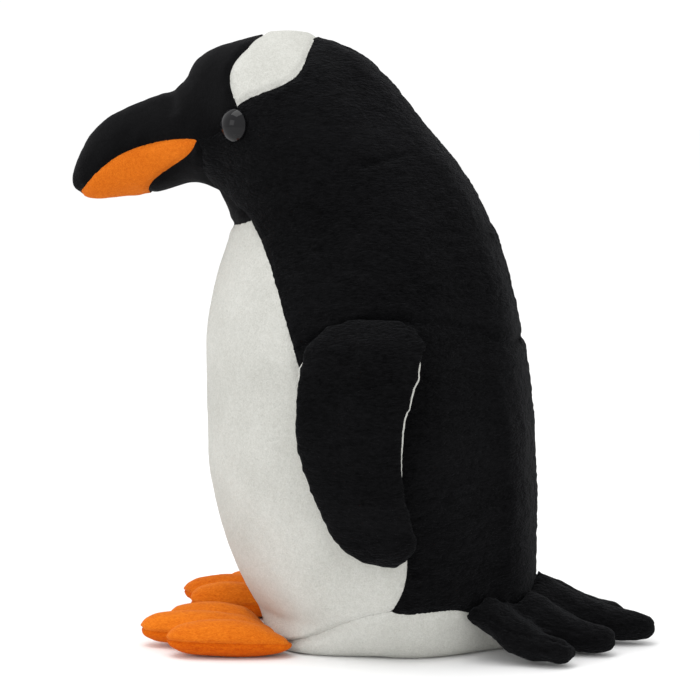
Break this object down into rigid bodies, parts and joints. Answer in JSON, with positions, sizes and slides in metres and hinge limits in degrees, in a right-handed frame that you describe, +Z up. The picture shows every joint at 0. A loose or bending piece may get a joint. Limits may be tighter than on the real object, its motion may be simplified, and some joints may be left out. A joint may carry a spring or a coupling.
{
  "type": "plush penguin toy",
  "caption": "Stuffed toy penguin of black and white plush that sits on a weighted base, with hinged flippers, orange three-toed feet, a fanned tail and glossy eyes.",
  "frame": {"origin": "on the floor, at the centre of the box round the whole toy", "axes": "+Z up; the bill points along -Y; the penguin's left side is +X"},
  "size_m": [0.1716, 0.281, 0.2901],
  "materials": {
    "black_plush": "matte",
    "white_plush": "matte",
    "black_short_pile": "matte",
    "orange_bill_pile": "matte",
    "orange_foot_pile": "matte",
    "fibre_fill": "matte",
    "bag_cloth": "matte",
    "plastic_pellets": "matte",
    "eye_plastic": "gloss",
    "washer_plastic": "satin"
  },
  "bodies": {
    "body": {"crown_patch": "white_plush", "face_panel_left": "black_short_pile", "face_panel_right": "black_short_pile", "bill_patch_left": "orange_bill_pile", "bill_patch_right": "orange_bill_pile", "throat_panel": "black_short_pile", "upper_back_left": "black_plush", "upper_back_right": "black_plush", "lower_back_left": "black_plush", "lower_back_right": "black_plush", "belly_panel": "white_plush", "base_panel": "white_plush", "body_fill": "fibre_fill", "pellet_bag": "bag_cloth", "pellets": "plastic_pellets", "eye_left": "eye_plastic", "eye_right": "eye_plastic", "eye_washer_left": "washer_plastic", "eye_washer_right": "washer_plastic"},
    "flipper_left": {"flipper_left_outer": "black_plush", "flipper_left_inner": "white_plush", "flipper_left_fill": "fibre_fill"},
    "flipper_right": {"flipper_right_outer": "black_plush", "flipper_right_inner": "white_plush", "flipper_right_fill": "fibre_fill"},
    "foot_left": {"foot_left_top": "orange_foot_pile", "foot_left_sole": "orange_foot_pile", "foot_left_fill": "fibre_fill"},
    "foot_right": {"foot_right_top": "orange_foot_pile", "foot_right_sole": "orange_foot_pile", "foot_right_fill": "fibre_fill"},
    "tail": {"tail_top": "black_plush", "tail_underside": "black_plush", "tail_fill": "fibre_fill"}
  },
  "joints": [
    {"name": "left_shoulder", "type": "hinge", "parent": "body", "child": "flipper_left", "pos_m": [0.065, 0.012, 0.1598], "axis": [0, -1, 0], "range_deg": [0, 75]},
    {"name": "right_shoulder", "type": "hinge", "parent": "body", "child": "flipper_right", "pos_m": [-0.065, 0.012, 0.1598], "axis": [0, 1, 0], "range_deg": [0, 75]},
    {"name": "left_ankle", "type": "hinge", "parent": "body", "child": "foot_left", "pos_m": [0.041, -0.0315, 0.008], "axis": [-0.8824, -0.4706, 0], "range_deg": [0, 15]},
    {"name": "right_ankle", "type": "hinge", "parent": "body", "child": "foot_right", "pos_m": [-0.041, -0.0315, 0.008], "axis": [-0.8824, 0.4706, 0], "range_deg": [0, 15]},
    {"name": "tail_root", "type": "hinge", "parent": "body", "child": "tail", "pos_m": [0, 0.064, 0.027], "axis": [1, 0, 0], "range_deg": [0, 15]}
  ]
}
